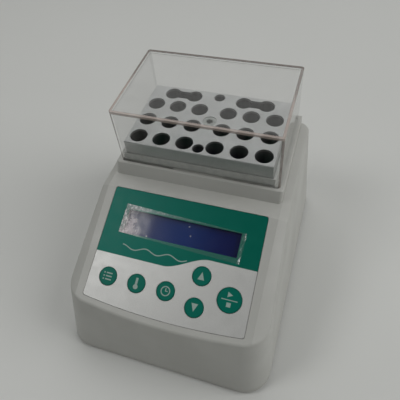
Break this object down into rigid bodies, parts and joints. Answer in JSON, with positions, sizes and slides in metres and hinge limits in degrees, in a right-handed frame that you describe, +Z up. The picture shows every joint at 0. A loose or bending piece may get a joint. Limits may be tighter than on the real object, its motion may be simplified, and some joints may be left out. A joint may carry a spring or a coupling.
{
  "type": "dry block heater",
  "caption": "Small bench dry block heater: sloping keypad with display, aluminium tube block on a plinth under a clear lift-off cover.",
  "frame": {"origin": "middle of the bounding box, on the surface that the feet stand on", "axes": "+Z up, -Y towards the keypad at the front, +X to the right"},
  "size_m": [0.134, 0.168, 0.121],
  "materials": {
    "housing_white": "fine satin texture",
    "tray_white": "fine satin texture",
    "foot_rubber": "matt",
    "steel": "zinc plated",
    "screw_bright": "bright",
    "overlay_print": "printed film, satin",
    "key_green": "printed film, satin",
    "clear_film": "film",
    "window_clear": "clear",
    "film_clear": "clear peel-off film",
    "lcd_blue": "polished",
    "backlight": "satin",
    "board_green": "solder mask",
    "ribbon_grey": "smooth",
    "block_aluminium": "bead blasted and anodised",
    "seat_grey": "satin",
    "silicone": "matt",
    "zinc_sheet": "zinc plated sheet",
    "black_plastic": "satin",
    "connector_green": "satin",
    "lead_red": "smooth",
    "lid_clear": "clear, polished"
  },
  "bodies": {
    "instrument": {"upper_housing": "housing_white", "base_tray": "tray_white", "rubber_feet": "foot_rubber", "housing_screws": "steel", "control_overlay": "overlay_print", "keypad_spacer": "clear_film", "keypad_circuit": "clear_film", "keypad_tail": "clear_film", "display_window": "window_clear", "display_film": "film_clear", "lcd_bezel": "steel", "lcd_glass": "lcd_blue", "lcd_backlight": "backlight", "lcd_board": "board_green", "lcd_screws": "steel", "display_ribbon": "ribbon_grey", "heating_block": "block_aluminium", "block_screw": "screw_bright", "seat_frame": "seat_grey", "heater_plate": "block_aluminium", "heater_mat": "silicone", "heater_insulation": "silicone", "heater_carrier": "zinc_sheet", "carrier_screws": "steel", "temperature_sensor": "steel", "thermal_cutout": "black_plastic", "main_board": "board_green", "board_screws": "steel", "board_connectors": "connector_green", "board_capacitors": "black_plastic", "control_chip": "black_plastic", "power_transistor": "black_plastic", "heat_sink": "block_aluminium", "buzzer": "black_plastic", "heater_leads": "lead_red", "sensor_leads": "lead_red", "supply_leads": "lead_red", "power_inlet": "black_plastic", "inlet_nut": "steel", "switch_body": "black_plastic"},
    "clear_cover": {"lid": "lid_clear"},
    "rocker": {"switch_rocker": "black_plastic"},
    "key_program_cap": {"key_program": "key_green"},
    "key_temperature_cap": {"key_temperature": "key_green"},
    "key_timer_cap": {"key_timer": "key_green"},
    "key_up_cap": {"key_up": "key_green"},
    "key_down_cap": {"key_down": "key_green"},
    "key_start_stop_cap": {"key_start_stop": "key_green"}
  },
  "joints": [
    {"name": "lid_lift", "type": "slide", "parent": "instrument", "child": "clear_cover", "axis": [0, 0, 1], "range_m": [0, 0.06]},
    {"name": "power_rocker", "type": "hinge", "parent": "instrument", "child": "rocker", "pos_m": [0.034, 0.079, 0.024], "axis": [0, 0, -1], "range_deg": [0, 18]},
    {"name": "key_program_press", "type": "slide", "parent": "instrument", "child": "key_program_cap", "axis": [0, 0.3955, -0.9184], "range_m": [0, 0.00035], "stiffness_N_per_m": 4000, "springref_m": -0.0001},
    {"name": "key_temperature_press", "type": "slide", "parent": "instrument", "child": "key_temperature_cap", "axis": [0, 0.3955, -0.9184], "range_m": [0, 0.00035], "stiffness_N_per_m": 4000, "springref_m": -0.0001},
    {"name": "key_timer_press", "type": "slide", "parent": "instrument", "child": "key_timer_cap", "axis": [0, 0.3955, -0.9184], "range_m": [0, 0.00035], "stiffness_N_per_m": 4000, "springref_m": -0.0001},
    {"name": "key_up_press", "type": "slide", "parent": "instrument", "child": "key_up_cap", "axis": [0, 0.3955, -0.9184], "range_m": [0, 0.00035], "stiffness_N_per_m": 4000, "springref_m": -0.0001},
    {"name": "key_down_press", "type": "slide", "parent": "instrument", "child": "key_down_cap", "axis": [0, 0.3955, -0.9184], "range_m": [0, 0.00035], "stiffness_N_per_m": 4000, "springref_m": -0.0001},
    {"name": "key_start_stop_press", "type": "slide", "parent": "instrument", "child": "key_start_stop_cap", "axis": [0, 0.3955, -0.9184], "range_m": [0, 0.00035], "stiffness_N_per_m": 4000, "springref_m": -0.0001}
  ]
}
